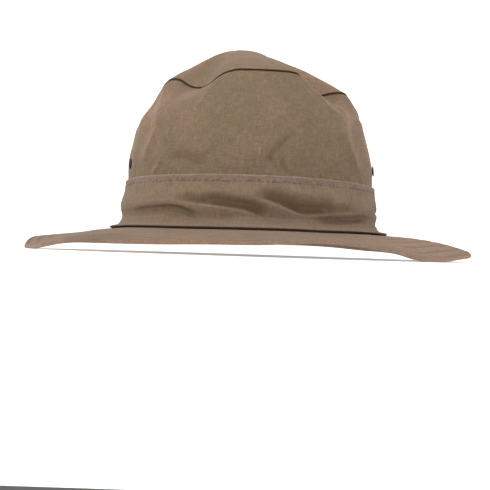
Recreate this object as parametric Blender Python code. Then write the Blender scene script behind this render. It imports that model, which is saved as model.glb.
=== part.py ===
# Safari hat of cotton cloth: crown, hat band, wide brim and metal vent eyelets.
# Metres, +Z up. The front of the hat faces -Y, and it rests on z = 0 on three places of its brim.
# Azimuths are degrees round the hat, counted from its front towards +X.

import math
from collections import namedtuple

import bmesh
import bpy
import numpy as np
from mathutils import Matrix, Vector

# Thicknesses of the cloth, and the gap that touching pieces keep
CROWN_WALL = 0.0013
BAND_WALL = 0.0013
BRIM_WALL = 0.0024
GAP = 0.0003

# Heights above the surface that the hat rests on
BASE_HEIGHT = 0.0162
BAND_TOP = 0.0487
SEAM_HEIGHT = 0.1178

# Points round each ring of the meshes, so one for every 5 degrees
AROUND = 72

# Outer face of the crown before its dents. Squareness 2 is an ellipse, and more is squarer.
Section = namedtuple("Section", "height half_width half_length squareness")
CROWN_SECTIONS = (
    Section(BASE_HEIGHT, 0.0866, 0.0970, 2.00),
    Section(0.0320, 0.0864, 0.0968, 2.00),
    Section(BAND_TOP, 0.0862, 0.0964, 2.05),
    Section(0.0620, 0.0861, 0.0955, 2.10),
    Section(0.0760, 0.0830, 0.0922, 2.20),
    Section(0.0905, 0.0787, 0.0873, 2.25),
    Section(0.1040, 0.0724, 0.0800, 2.20),
    Section(SEAM_HEIGHT, 0.0655, 0.0712, 2.10),
)

# Heights of the rings of the crown's mesh
CROWN_LEVELS = (
    BASE_HEIGHT, 0.0325, BAND_TOP, 0.0560, 0.0635, 0.0710, 0.0785,
    0.0860, 0.0935, 0.1010, 0.1080, 0.1132, SEAM_HEIGHT,
)

# Dents where the crown sinks in or only down below the top seam, at the corners, the sides and the front.
# Each reaches down from the seam, drifts round the hat on its way, and also pulls the seam down.
Dent = namedtuple("Dent", "azimuth drift spread reach depth drop")
CROWN_DENTS = (
    Dent(-32, -13, 25.5, 0.028, 0.0075, 0.0098),
    Dent(46, 11, 28, 0.028, 0.0170, 0.0085),
    Dent(-136, 6, 27, 0.026, 0.0090, 0.0060),
    Dent(138, -6, 27, 0.026, 0.0105, 0.0060),
    Dent(-88, 0, 42, 0.042, 0.0000, 0.0115),
    Dent(90, 0, 58, 0.036, 0.0000, 0.0065),
    Dent(0, 0, 60, 0.020, 0.0000, 0.0010),
)
DENT_TAPER = 1.5

# Where the cloth of the sides sags or bulges, as far round and as far up and down as these reach
Sag = namedtuple("Sag", "azimuth height spread reach outwards")
CROWN_SAGS = (
    Sag(-72, 0.1010, 45, 0.0200, -0.0032),
    Sag(80, 0.0800, 45, 0.0260, -0.0013),
    Sag(80, 0.1080, 35, 0.0160, 0.0024),
)

# Soft upright creases that run down from the corners between the dents
Crease = namedtuple("Crease", "top_azimuth middle_azimuth foot_azimuth rise")
CROWN_CREASES = (
    Crease(-69, -56, -60, 0.0016),
    Crease(70, 56, 66, 0.0018),
    Crease(-108, -124, -118, 0.0010),
    Crease(108, 125, 118, 0.0010),
)
CREASE_SPREAD = 10
CREASE_MIDDLE = 0.0780

# Top panel: its peak, how round the peak is, how soon the dents fade out towards it, and the rings of
# the mesh from the seam at 0 to the peak at 1
PEAK_HEIGHT = 0.1456
PEAK_SIDE = -0.0104
PEAK_ROUNDNESS = 0.26
DENT_FADE = 1.8
TIP_RINGS = (0, 0.18, 0.38, 0.60, 0.82)

# Hat band: how far its slack cloth puffs off the crown at each height, from the top edge down
BandRow = namedtuple("BandRow", "height puff")
BAND_ROWS = (
    BandRow(BAND_TOP, 0.0000),
    BandRow(0.0440, 0.0003),
    BandRow(0.0395, 0.0010),
    BandRow(0.0355, 0.0020),
    BandRow(0.0315, 0.0024),
    BandRow(0.0275, 0.0019),
    BandRow(0.0240, 0.0011),
    BandRow(0.0210, 0.0015),
)

# Troughs where the slack of the band sinks back towards the crown
Fold = namedtuple("Fold", "from_azimuth to_azimuth from_height to_height depth")
BAND_FOLDS = (
    Fold(-30, 9, 0.0345, 0.0252, 0.0026),
    Fold(2, 42, 0.0368, 0.0302, 0.0024),
    Fold(-56, -18, 0.0295, 0.0228, 0.0018),
    Fold(25, 60, 0.0200, 0.0285, 0.0018),
    Fold(70, 112, 0.0330, 0.0290, 0.0016),
    Fold(118, 168, 0.0270, 0.0340, 0.0022),
    Fold(176, 222, 0.0350, 0.0270, 0.0022),
    Fold(236, 288, 0.0290, 0.0340, 0.0016),
)
FOLD_HALF_HEIGHT = 0.0060

# The lower edge of the band turns out and is stitched down on the brim, up to these shares of its width
FLANGE_BEND = 0.055
FLANGE_EDGE = 0.175
FLANGE_FILLET = 0.0008

# Brim: half sizes of its outer edge, and the rings of its mesh from the inner edge at 0 to the outer at 1
BRIM_HALF_WIDTH = 0.1537
BRIM_HALF_LENGTH = 0.1650
BRIM_RINGS = (0, FLANGE_EDGE, 0.38, 0.58, 0.76, 0.89, 0.955, 1)

# How the brim hangs: the height of its edge's underside, which the surface presses flat where it would
# be below 0, and how late on its way out it bends down
BrimRow = namedtuple("BrimRow", "azimuth edge_height curl")
BRIM_ROWS = (
    BrimRow(-180, 0.0096, 1.3),
    BrimRow(-152, 0.0088, 1.3),
    BrimRow(-125, 0.0074, 1.3),
    BrimRow(-105, 0.0066, 1.3),
    BrimRow(-91, 0.0060, 1.3),
    BrimRow(-82, 0.0034, 1.4),
    BrimRow(-74, -0.0002, 1.6),
    BrimRow(-66, -0.0016, 1.8),
    BrimRow(-58, -0.0010, 1.8),
    BrimRow(-50, 0.0011, 1.8),
    BrimRow(-38, 0.0038, 1.5),
    BrimRow(-25, 0.0042, 1.3),
    BrimRow(0, 0.0058, 1.3),
    BrimRow(17, 0.0072, 1.3),
    BrimRow(25, 0.0054, 1.4),
    BrimRow(32, 0.0026, 1.8),
    BrimRow(41, -0.0014, 2.4),
    BrimRow(48, -0.0002, 2.6),
    BrimRow(58, 0.0015, 2.8),
    BrimRow(72, 0.0026, 3.0),
    BrimRow(90, 0.0056, 3.0),
    BrimRow(98, 0.0030, 2.8),
    BrimRow(106, -0.0010, 2.4),
    BrimRow(113, -0.0020, 2.2),
    BrimRow(119, -0.0006, 2.0),
    BrimRow(128, 0.0040, 1.7),
    BrimRow(142, 0.0066, 1.5),
    BrimRow(158, 0.0088, 1.4),
)

# Vent eyelets in the sides of the crown, two on each side. The wall is curved, so their flat backs need
# a little more room than the gap.
Vent = namedtuple("Vent", "azimuth height")
VENTS = {
    "left_front": Vent(-66, 0.0590),
    "left_rear": Vent(-103, 0.0590),
    "right_front": Vent(77, 0.0608),
    "right_rear": Vent(114, 0.0608),
}
EYELET_HOLE_RADIUS = 0.0018
EYELET_BARREL_RADIUS = 0.0023
EYELET_FLANGE_RADIUS = 0.0036
EYELET_RIM = 0.0009
EYELET_BACK = 0.0006
EYELET_ROOM = 0.0006
EYELET_SIDES = 16
VENT_CUTTER_LENGTH = 0.0100

# Edges that turn more sharply than this many degrees are shaded as edges
SHARP_ANGLE = 50

# Look of each material: colour, roughness, metallic
Finish = namedtuple("Finish", "colour roughness metallic")
FINISHES = {
    "crown_cotton": Finish((0.250, 0.184, 0.118, 1), 0.88, 0.0),
    "band_cotton": Finish((0.236, 0.174, 0.113, 1), 0.88, 0.0),
    "brim_cotton": Finish((0.302, 0.219, 0.147, 1), 0.86, 0.0),
    "eyelet_metal": Finish((0.030, 0.025, 0.022, 1), 0.40, 0.9),
}


def smooth_table(at, places, values):
    """Value between the rows of a table, on a smooth curve through them."""
    places, values = np.array(places), np.array(values)
    at = min(max(at, places[0]), places[-1])
    slopes = np.gradient(values, places)
    low = min(int(np.searchsorted(places, at, side="right")) - 1, len(places) - 2)
    step = places[low + 1] - places[low]
    share = (at - places[low]) / step
    square, cube = share**2, share**3
    return (
        values[low] * (2 * cube - 3 * square + 1)
        + values[low + 1] * (3 * square - 2 * cube)
        + slopes[low] * step * (cube - 2 * square + share)
        + slopes[low + 1] * step * (cube - square)
    )


def round_table(azimuth, rows, column):
    """The same for a table that goes once round the hat, with the azimuth as its first column."""
    places = [row.azimuth + turn for turn in (-360, 0, 360) for row in rows]
    values = [getattr(row, column) for _ in range(3) for row in rows]
    return smooth_table(azimuth, places, values)


def hump(offset):
    """1 in the middle, falling smoothly to 0 at an offset of 1 either way."""
    return math.cos(min(abs(offset), 1) * math.pi / 2) ** 2


def turn_between(azimuth, other):
    """Signed degrees from the other azimuth to this one, the short way round."""
    return (azimuth - other + 180) % 360 - 180


def outward(azimuth):
    """Horizontal unit vector away from the hat's axis."""
    angle = math.radians(azimuth)
    return Vector((math.sin(angle), -math.cos(angle), 0))


def upward(height):
    return Vector((0, 0, height))


def oval_point(azimuth, half_width, half_length, squareness=2.0):
    """Horizontal point of a rounded oval in the direction of the azimuth."""
    way = outward(azimuth)
    reach = (abs(way.x) / half_width) ** squareness + (abs(way.y) / half_length) ** squareness
    return way * reach ** (-1 / squareness)


def dent_shift(azimuth, height):
    """How far the dents move a point of the crown inwards, and how far down."""
    inwards, down = 0, 0
    for dent in CROWN_DENTS:
        below = min((SEAM_HEIGHT - height) / dent.reach, 1)
        middle = dent.azimuth + dent.drift * below
        share = hump(turn_between(azimuth, middle) / dent.spread) * (1 - below) ** DENT_TAPER
        inwards += dent.depth * share
        down += dent.drop * share
    return inwards, down


def crease_rise(azimuth, height):
    """How far the upright creases stand out of the crown."""
    rise = 0
    for crease in CROWN_CREASES:
        middle = smooth_table(
            height,
            (BAND_TOP, CREASE_MIDDLE, SEAM_HEIGHT),
            (crease.foot_azimuth, crease.middle_azimuth, crease.top_azimuth),
        )
        fade = min(max((height - BAND_TOP) / (CREASE_MIDDLE - BAND_TOP), 0), 1)
        rise += crease.rise * fade * hump(turn_between(azimuth, middle) / CREASE_SPREAD)
    return rise


def crown_sag(azimuth, height):
    """How far the sides bulge, or sag where it is negative."""
    return sum(
        sag.outwards
        * hump(turn_between(azimuth, sag.azimuth) / sag.spread)
        * hump((height - sag.height) / sag.reach)
        for sag in CROWN_SAGS
    )


def plain_crown_point(azimuth, height):
    """Point of the crown's outer face without its dents and creases."""
    heights = [section.height for section in CROWN_SECTIONS]
    half_width, half_length, squareness = (
        smooth_table(height, heights, [section[column] for section in CROWN_SECTIONS])
        for column in (1, 2, 3)
    )
    return oval_point(azimuth, half_width, half_length, squareness) + upward(height)


def crown_point(azimuth, height):
    """Point of the crown's outer face. The height is the one before the dents pull it down."""
    inwards, down = dent_shift(azimuth, height)
    swell = crease_rise(azimuth, height) + crown_sag(azimuth, height) - inwards
    return plain_crown_point(azimuth, height) + outward(azimuth) * swell - upward(down)


def crown_normal(azimuth, height):
    turn, rise = 0.5, 0.0005
    along = crown_point(azimuth + turn, height) - crown_point(azimuth - turn, height)
    up = crown_point(azimuth, height + rise) - crown_point(azimuth, height - rise)
    return along.cross(up).normalized()


def tip_point(azimuth, share):
    """Point of the top panel's underside, from the seam at share 0 to the peak at 1."""
    plain_seam = plain_crown_point(azimuth, SEAM_HEIGHT) + upward(GAP)
    seam = crown_point(azimuth, SEAM_HEIGHT) + upward(GAP)
    peak = Vector((PEAK_SIDE, 0, PEAK_HEIGHT - CROWN_WALL))
    point = plain_seam.lerp(peak, share)
    left_to_rise = math.hypot(1 - share, PEAK_ROUNDNESS) - PEAK_ROUNDNESS
    whole_rise = math.hypot(1, PEAK_ROUNDNESS) - PEAK_ROUNDNESS
    point.z = peak.z - (peak.z - plain_seam.z) * left_to_rise / whole_rise
    return point + (seam - plain_seam) * (1 - share) ** DENT_FADE


def brim_point(azimuth, share):
    """Point of the brim's underside, from its inner edge at share 0 to its outer edge at 1."""
    base = CROWN_SECTIONS[0]
    inset = CROWN_WALL + GAP
    inner = oval_point(azimuth, base.half_width - inset, base.half_length - inset)
    outer = oval_point(azimuth, BRIM_HALF_WIDTH, BRIM_HALF_LENGTH)
    top = BASE_HEIGHT - GAP - BRIM_WALL
    edge = round_table(azimuth, BRIM_ROWS, "edge_height")
    height = top - (top - edge) * share ** round_table(azimuth, BRIM_ROWS, "curl")
    return inner.lerp(outer, share) + upward(max(height, 0))


def fold_depth(azimuth, height):
    """How far the troughs of the band sink in."""
    depth = 0
    for fold in BAND_FOLDS:
        half_length = (fold.to_azimuth - fold.from_azimuth) / 2
        along = turn_between(azimuth, fold.from_azimuth + half_length) / half_length
        share = (min(max(along, -1), 1) + 1) / 2
        line = fold.from_height + (fold.to_height - fold.from_height) * share
        depth += fold.depth * hump(along) * hump((height - line) / FOLD_HALF_HEIGHT)
    return depth


def band_standoff(azimuth, row):
    """Gap between the crown and the inner face of the band at a row of its table."""
    return GAP + max(row.puff - fold_depth(azimuth, row.height), 0)


def azimuths():
    return [360 * step / AROUND for step in range(AROUND)]


def ring_faces(rings, turned=False):
    """Triangles between closed rings of points. They face away from the axis when the rings go up."""
    faces = []
    for ring in range(rings - 1):
        for step in range(AROUND):
            here, along = ring * AROUND + step, ring * AROUND + (step + 1) % AROUND
            faces.append((here, along, along + AROUND))
            faces.append((here, along + AROUND, here + AROUND))
    return [face[::-1] for face in faces] if turned else faces


def cloth_shell(name, outer_rings, inner_rings, finish, peaks=()):
    """Wall of cloth between two faces, each given as rings of points from the bottom to the top.

    It is open at the top, or closed by the peaks of its outer and inner faces.
    """
    rings = len(outer_rings)
    offset = rings * AROUND
    points = [point for ring in (*outer_rings, *inner_rings) for point in ring]
    faces = ring_faces(rings)
    faces += [tuple(corner + offset for corner in face) for face in ring_faces(rings, turned=True)]
    last = (rings - 1) * AROUND
    for step in range(AROUND):
        after = (step + 1) % AROUND
        faces.append((step, step + offset, after + offset))
        faces.append((step, after + offset, after))
        if not peaks:
            faces.append((last + step, last + after, last + after + offset))
            faces.append((last + step, last + after + offset, last + step + offset))
    if peaks:
        for start, peak, turned in zip((0, offset), peaks, (False, True)):
            fan = [(start + last + step, start + last + (step + 1) % AROUND) for step in range(AROUND)]
            faces += [(*(edge[::-1] if turned else edge), len(points)) for edge in fan]
            points.append(peak)
    mesh = bpy.data.meshes.new(name)
    mesh.from_pydata([tuple(point) for point in points], [], faces)
    return add_object(name, mesh, finish)


def add_object(name, mesh, finish):
    mesh.materials.append(finish)
    made = bpy.data.objects.new(name, mesh)
    bpy.context.scene.collection.objects.link(made)
    mesh.shade_smooth()
    mesh.set_sharp_from_angle(angle=math.radians(SHARP_ANGLE))
    return made


def make_finish(name):
    look = FINISHES[name]
    finish = bpy.data.materials.new(name)
    finish.use_nodes = True
    shader = finish.node_tree.nodes["Principled BSDF"]
    shader.inputs["Base Color"].default_value = look.colour
    shader.inputs["Roughness"].default_value = look.roughness
    shader.inputs["Metallic"].default_value = look.metallic
    return finish


def make_crown_side(finish):
    """Side panel of the crown, from the brim up to the top seam."""
    outer = [[crown_point(azimuth, level) for azimuth in azimuths()] for level in CROWN_LEVELS]
    inner = [
        [crown_point(azimuth, level) - outward(azimuth) * CROWN_WALL for azimuth in azimuths()]
        for level in CROWN_LEVELS
    ]
    return cloth_shell("crown_side", outer, inner, finish)


def make_crown_tip(finish):
    """Oval top panel, which meets the side panel at the seam and rises to a soft peak."""
    inner = [[tip_point(azimuth, share) for azimuth in azimuths()] for share in TIP_RINGS]
    outer = [[point + upward(CROWN_WALL) for point in ring] for ring in inner]
    peaks = (tip_point(0, 1) + upward(CROWN_WALL), tip_point(0, 1))
    return cloth_shell("crown_tip", outer, inner, finish, peaks)


def make_band(finish):
    """Band round the foot of the crown, whose lower edge turns out into a flange on the brim."""
    inner, outer = [], []
    for share, fillet in ((FLANGE_EDGE, 0), (FLANGE_BEND, FLANGE_FILLET)):
        under = [brim_point(azimuth, share) + upward(BRIM_WALL + GAP) for azimuth in azimuths()]
        inner.append(under)
        outer.append([point + upward(BAND_WALL + fillet) for point in under])
    for row in reversed(BAND_ROWS):
        for ring, thickness in ((inner, 0), (outer, BAND_WALL)):
            ring.append(
                [
                    crown_point(azimuth, row.height)
                    + outward(azimuth) * (band_standoff(azimuth, row) + thickness)
                    for azimuth in azimuths()
                ]
            )
    return cloth_shell("band", outer, inner, finish)


def make_brim(finish):
    """Wide brim, which stands clear of the surface in front and behind and rests on its sides."""
    under = [[brim_point(azimuth, share) for azimuth in azimuths()] for share in reversed(BRIM_RINGS)]
    upper = [[point + upward(BRIM_WALL) for point in ring] for ring in under]
    return cloth_shell("brim", upper, under, finish)


def eyelet_frame(place):
    """Placement of an eyelet: its own +Z points out of the crown at its centre."""
    vent = VENTS[place]
    centre = crown_point(vent.azimuth, vent.height)
    facing = crown_normal(vent.azimuth, vent.height).to_track_quat("Z", "Y")
    return Matrix.Translation(centre) @ facing.to_matrix().to_4x4()


def cut_vent(crown, place):
    """Cuts the round hole that an eyelet's barrel passes through."""
    name = f"vent_cutter_{place}"
    mesh = bpy.data.meshes.new(name)
    shape = bmesh.new()
    radius = EYELET_BARREL_RADIUS + GAP
    bmesh.ops.create_cone(
        shape,
        cap_ends=True,
        segments=EYELET_SIDES,
        radius1=radius,
        radius2=radius,
        depth=VENT_CUTTER_LENGTH,
    )
    shape.to_mesh(mesh)
    shape.free()
    cutter = bpy.data.objects.new(name, mesh)
    cutter.matrix_world = eyelet_frame(place)
    cutter.hide_render = True
    cutter.display_type = "WIRE"
    bpy.context.scene.collection.objects.link(cutter)
    cut = crown.modifiers.new(name, "BOOLEAN")
    cut.operation = "DIFFERENCE"
    cut.object = cutter


def make_eyelet(place, finish):
    """Metal eyelet turned from its section: a rounded rim outside, a barrel and a flat back inside."""
    name = f"eyelet_{place}"
    front, back = GAP, -CROWN_WALL - EYELET_ROOM
    middle_radius = (EYELET_HOLE_RADIUS + EYELET_FLANGE_RADIUS) / 2
    section = (
        (EYELET_HOLE_RADIUS, back - EYELET_BACK),
        (EYELET_FLANGE_RADIUS, back - EYELET_BACK),
        (EYELET_FLANGE_RADIUS, back),
        (EYELET_BARREL_RADIUS, back),
        (EYELET_BARREL_RADIUS, front),
        (EYELET_FLANGE_RADIUS, front),
        (EYELET_FLANGE_RADIUS - EYELET_RIM / 4, front + EYELET_RIM * 0.7),
        (middle_radius, front + EYELET_RIM),
        (EYELET_HOLE_RADIUS, front + EYELET_RIM * 0.4),
    )
    points, faces = [], []
    for step in range(EYELET_SIDES):
        angle = 2 * math.pi * step / EYELET_SIDES
        points += [(radius * math.cos(angle), radius * math.sin(angle), z) for radius, z in section]
        here, along = step * len(section), (step + 1) % EYELET_SIDES * len(section)
        for corner in range(len(section)):
            after = (corner + 1) % len(section)
            faces.append((here + corner, along + corner, along + after, here + after))
    mesh = bpy.data.meshes.new(name)
    mesh.from_pydata(points, [], faces)
    made = add_object(name, mesh, finish)
    made.matrix_world = eyelet_frame(place)


def main():
    for old in list(bpy.data.objects):
        bpy.data.objects.remove(old)
    finishes = {name: make_finish(name) for name in FINISHES}
    crown = make_crown_side(finishes["crown_cotton"])
    make_crown_tip(finishes["crown_cotton"])
    make_band(finishes["band_cotton"])
    make_brim(finishes["brim_cotton"])
    for place in VENTS:
        cut_vent(crown, place)
        make_eyelet(place, finishes["eyelet_metal"])


main()
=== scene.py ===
# Safari hat of cotton cloth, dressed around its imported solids: crown, top panel, hat band, quilted brim,
# vent eyelets and stitching. Metres, +Z up. The front faces -Y, and azimuths are degrees counted from the
# front towards +X.
import math

import bpy
import numpy as np
from mathutils import Matrix, Vector, noise


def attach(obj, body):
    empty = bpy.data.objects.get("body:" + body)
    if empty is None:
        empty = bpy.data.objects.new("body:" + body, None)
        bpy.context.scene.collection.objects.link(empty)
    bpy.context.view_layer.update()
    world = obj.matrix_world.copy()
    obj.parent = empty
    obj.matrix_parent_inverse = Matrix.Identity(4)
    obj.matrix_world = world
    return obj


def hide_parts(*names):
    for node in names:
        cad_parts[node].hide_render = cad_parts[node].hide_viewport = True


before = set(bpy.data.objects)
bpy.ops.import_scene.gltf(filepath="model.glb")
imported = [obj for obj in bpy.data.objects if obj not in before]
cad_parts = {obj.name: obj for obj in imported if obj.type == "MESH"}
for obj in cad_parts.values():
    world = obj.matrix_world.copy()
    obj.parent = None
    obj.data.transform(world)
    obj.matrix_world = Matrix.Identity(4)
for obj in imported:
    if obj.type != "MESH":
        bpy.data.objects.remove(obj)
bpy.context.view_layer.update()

print("frame loaded:", ", ".join(sorted(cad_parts)))


# Shape helpers. They take arrays, so that a whole surface is worked out at once.

metresPerDegree = 0.00157  # round the foot of the crown
pathSteps = 5  # straight steps between two points of a path
foldShape = {
    "fade": (0, 0.22, 0.78, 1),  # shares of a fold's path
    "fullDepth": 0.003,  # from this depth on, a fold is wholly inside
    "lipPlace": 2.0,  # in widths of the fold's right side
    "lipWidth": 1.6,
}
crestShape = {
    "fade": (0, 0.12, 0.8, 1),
    "sharpness": 1.6,
    "beside": (0.3, 1.6),  # where the painted light beside a crest ends, in widths of that side
    "wearAndPaintedLight": 0.5,  # painted highlight: how much lighter and rosier the crest line itself is painted
    "highlightWidth": 0.0014,
}


def smoothTable(at, places, values):  # on a smooth curve through the rows of a table
    places, values = np.array(places, float), np.array(values, float)
    at = np.clip(at, places[0], places[-1])
    slopes = np.gradient(values, places)
    low = np.clip(np.searchsorted(places, at, side="right") - 1, 0, len(places) - 2)
    step = places[low + 1] - places[low]
    share = (at - places[low]) / step
    square, cube = share ** 2, share ** 3
    level = values[low] * (2 * cube - 3 * square + 1) + values[low + 1] * (3 * square - 2 * cube)
    return level + step * (slopes[low] * (cube - 2 * square + share) + slopes[low + 1] * (cube - square))


def roundTable(azimuth, rows, column):  # the same for a table that goes once round the hat
    places = [row[0] + turn for turn in (-360, 0, 360) for row in rows]
    return smoothTable(turnBetween(azimuth, 0), places, [row[column] for _ in range(3) for row in rows])


def hump(offset):  # 1 in the middle, 0 from an offset of 1 either way
    return np.cos(np.minimum(np.abs(offset), 1) * math.pi / 2) ** 2


def ramp(value, low, high):  # 0 at low, 1 at high, smooth between
    share = np.clip((value - low) / (high - low), 0, 1)
    return share * share * (3 - 2 * share)


def plateau(value, start, full, late, end):  # rises to 1 from start to full, and falls to 0 from late to end
    return ramp(value, start, full) * (1 - ramp(value, late, end))


def turnBetween(azimuth, other):
    return (azimuth - other + 180) % 360 - 180


def together(*values):  # as arrays of one shape
    return np.broadcast_arrays(*(np.asarray(value, float) for value in values))


def outward(azimuth):
    angle = np.radians(azimuth)
    return np.stack([np.sin(angle), -np.cos(angle), 0 * angle], -1)


def upward(height):
    height = np.asarray(height, float)
    return np.stack([0 * height, 0 * height, height], -1)


def out(azimuth, distance):
    azimuth, distance = together(azimuth, distance)
    return outward(azimuth) * distance[..., None]


def ovalPoint(azimuth, halfWidth, halfLength, squareness=2.0):
    way = outward(azimuth)
    reach = np.abs(way[..., 0] / halfWidth) ** squareness + np.abs(way[..., 1] / halfLength) ** squareness
    return way * (reach ** (-1 / squareness))[..., None]


def ripple(points, size, seed):  # smooth noise between about -1 and 1, with features of that size
    places = (points / size + seed * np.array([7.3, 3.1, 5.7])).reshape(-1, 3)
    return np.array([noise.noise(place) for place in places.tolist()]).reshape(points.shape[:-1])


def azimuths(around):
    return np.arange(around) * 360 / around


def smoothRings(rings, steps):  # a smooth surface through rings, with that many rings between each two
    ends = np.concatenate([2 * rings[:1] - rings[1:2], rings, 2 * rings[-1:] - rings[-2:-1]])
    made = []
    for k, count in enumerate(steps):
        before, start, stop, after = ends[k:k + 4]
        for share in np.arange(count) / count:
            square, cube = share ** 2, share ** 3
            made.append(0.5 * (2 * start + (stop - before) * share
                        + (2 * before - 5 * start + 4 * stop - after) * square
                        + (3 * start - before - 3 * stop + after) * cube))
    return np.stack(made + [rings[-1]])


def alongPath(azimuth, height, path):  # share of the way along a path, and metres to the left of it
    line = smoothRings(np.array(path, float), [pathSteps] * (len(path) - 1))
    middle = line[:, 0].mean()
    line = (line - (middle, 0)) * (metresPerDegree, 1)
    across, level = together(turnBetween(azimuth, middle) * metresPerDegree, height)
    steps = np.diff(line, axis=0)
    lengths = np.hypot(steps[:, 0], steps[:, 1])
    passed = np.concatenate([[0], np.cumsum(lengths)])
    nearest, along, left = np.full(across.shape, np.inf), np.zeros(across.shape), np.zeros(across.shape)
    for start, step, length, before in zip(line, steps, lengths, passed):
        x, y = across - start[0], level - start[1]
        share = np.clip((x * step[0] + y * step[1]) / length ** 2, 0, 1)
        gap = np.hypot(x - share * step[0], y - share * step[1])
        side = np.where(step[0] * y - step[1] * x < 0, -gap, gap)
        closer = gap < nearest
        nearest = np.where(closer, gap, nearest)
        along = np.where(closer, (before + share * length) / passed[-1], along)
        left = np.where(closer, side, left)
    return along, left


def foldLines(azimuth, height, rows):  # how far the folds of a table sink in, and how far into one this is
    depth = inside = 0
    for path, leftWidth, rightWidth, deep, lip in rows:
        along, left = alongPath(azimuth, height, path)
        fade = plateau(along, *foldShape["fade"])
        trough = fade * hump(np.where(left > 0, left / leftWidth, left / rightWidth))
        inside = np.maximum(inside, trough * min(deep / foldShape["fullDepth"], 1))
        fromLip = (left + foldShape["lipPlace"] * rightWidth) / (foldShape["lipWidth"] * rightWidth)
        depth = depth + deep * trough - fade * lip * hump(fromLip)
    return depth, inside


def crestLines(azimuth, height, rows):  # how far the sharp crests of a table stand out, and their painted light: a painted highlight along each crest, with painted light beside it, and painted shade where that amount is below 0
    rise = crestPaintedLight = 0
    for path, leftWidth, rightWidth, high, leftPaintedLight, rightPaintedLight in rows:
        along, left = alongPath(azimuth, height, path)
        fade = plateau(along, *crestShape["fade"])
        offset = np.where(left > 0, left / leftWidth, -left / rightWidth)
        beside = np.where(left > 0, leftPaintedLight, rightPaintedLight) * (1 - ramp(offset, *crestShape["beside"]))
        rise = rise + high * fade * np.clip(1 - offset, 0, 1) ** crestShape["sharpness"]
        # painted highlight on the crest, and painted light beside it, painted shade where the amount is below
        # 0
        crestPaintedLight = crestPaintedLight + fade * (beside + crestShape["wearAndPaintedLight"] * hump(left / crestShape["highlightWidth"]))
    return rise, crestPaintedLight


def patches(azimuth, height, rows):  # soft patches of a table: azimuth, height, their spreads and amount
    total = 0
    for middle, level, spread, reach, amount in rows:
        total = total + amount * hump(turnBetween(azimuth, middle) / spread) * hump((height - level) / reach)
    return total


def softRipples(points, rows):  # the ripples of a table: depth, stretch upwards, size and seed
    total = 0
    for depth, stretch, size, seed in rows:
        total = total + depth * ripple(points * (1, 1, stretch), size, seed)
    return total


# Meshes from rings of points

def newMesh(name, points, faces, smooth=True):
    mesh = bpy.data.meshes.new(name)
    mesh.from_pydata(points, [], faces)
    if smooth:
        mesh.shade_smooth()
    return mesh


def newObject(name, data):
    made = bpy.data.objects.new(name, data)
    bpy.context.scene.collection.objects.link(made)
    return made


def roundedEdge(middle, around, sideways, upwards):  # rings laid round the middle of the cloth's edge
    return middle + out(around, sideways[:, None]) + upward(upwards)[:, None]


# Rings one after another, joined last to first where there are no poles. threads are the cloth's own places
# at the corners of the faces, and marks are the values that the material reads.
def makeMesh(name, rings, threads, marks, poles=()):
    count, around = rings.shape[:2]
    rows = count if len(poles) == 0 else count - 1
    ring, step = np.meshgrid(np.arange(rows), np.arange(around), indexing="ij")
    corners = [(ring, step), (ring, step + 1), (ring + 1, step + 1), (ring + 1, step)]
    faces = np.stack([r % count * around + s % around for r, s in corners], -1).reshape(-1, 4).tolist()
    cloth = np.stack([threads[r % count, s] for r, s in corners], 2).reshape(-1, 2)
    points = rings.reshape(-1, 3).tolist()
    extra = []
    for pole, first in zip(poles, (True, False)):
        row = 0 if first else count - 1
        for s in range(around):
            here, after = (row, s), (row, s + 1)
            pair = (after, here) if first else (here, after)
            faces.append([r * around + t % around for r, t in pair] + [len(points)])
            extra += [threads[pair[0]], threads[pair[1]], pole[:2]]
        points.append(list(pole))
    if extra:
        cloth = np.concatenate([cloth, np.array(extra)])
    mesh = newMesh(name, points, faces)
    place = mesh.attributes.new("thread", "FLOAT_VECTOR", "CORNER")
    place.data.foreach_set("vector", np.pad(cloth, ((0, 0), (0, 1))).ravel())
    for mark, values in marks.items():
        values = np.broadcast_to(values, rings.shape[:2]).ravel()
        if len(poles):
            values = np.append(values, (values[0], values[-1]))
        mesh.attributes.new(mark, "FLOAT", "POINT").data.foreach_set("value", values)
    return newObject(name, mesh)


def dress(piece, finish, slotName, *nodes):
    piece.data.materials.clear()
    piece.data.materials.append(finish)
    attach(piece, "root")
    if nodes:
        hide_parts(*nodes)


def wrapped(rings):  # the flat pattern's threads, where the cloth lies in the plan of the hat
    return np.concatenate([rings, rings[:, :1]], 1)[..., :2]


def cylinderThreads(heights, around):  # threads that run round the crown and up it
    along = np.append(azimuths(around), 360) * metresPerDegree
    return np.stack(together(along, heights[:, None]), -1)


# Cloth materials: khaki cotton with a fine weave and slubs, a rosy cast that is partly painted light, and
# painted shade in seams, folds and under the band's flange

# features in a metre along each axis, detail and turn of each noise
clothFields = {
    "clouds": ((34, 34, 30), 3, 0.0),
    "streaks": ((75, 75, 40), 3, 0.6),
    "mottle": ((330, 330, 330), 3, 0.0),
    "specks": ((1150, 1150, 1150), 1, 0.0),
    "flecks": ((190, 190, 120), 3, 1.1),
}
# the same along the threads
threadFields = {
    "warp": ((1500, 150, 1), 2, 0.0),
    "weft": ((150, 1500, 1), 2, 0.0),
}


def feed(tree, socket, value):  # links the output of another node, or sets a plain value
    if isinstance(value, bpy.types.NodeSocket):
        tree.links.new(value, socket)
    else:
        socket.default_value = value


def addNode(tree, kind, **inputs):
    made = tree.nodes.new("ShaderNode" + kind)
    for key, value in inputs.items():
        feed(tree, made.inputs[key], value)
    return made.outputs[0]


def doMath(tree, operation, *values):
    made = tree.nodes.new("ShaderNodeMath")
    made.operation = operation
    for place, value in enumerate(values):
        feed(tree, made.inputs[place], value)
    return made.outputs[0]


def blendColours(tree, share, first, second, kind="MIX"):
    made = tree.nodes.new("ShaderNodeMix")
    made.data_type, made.blend_type = "RGBA", kind
    for place, value in ((0, share), (6, first), (7, second)):
        feed(tree, made.inputs[place], value)
    return made.outputs[2]


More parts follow.
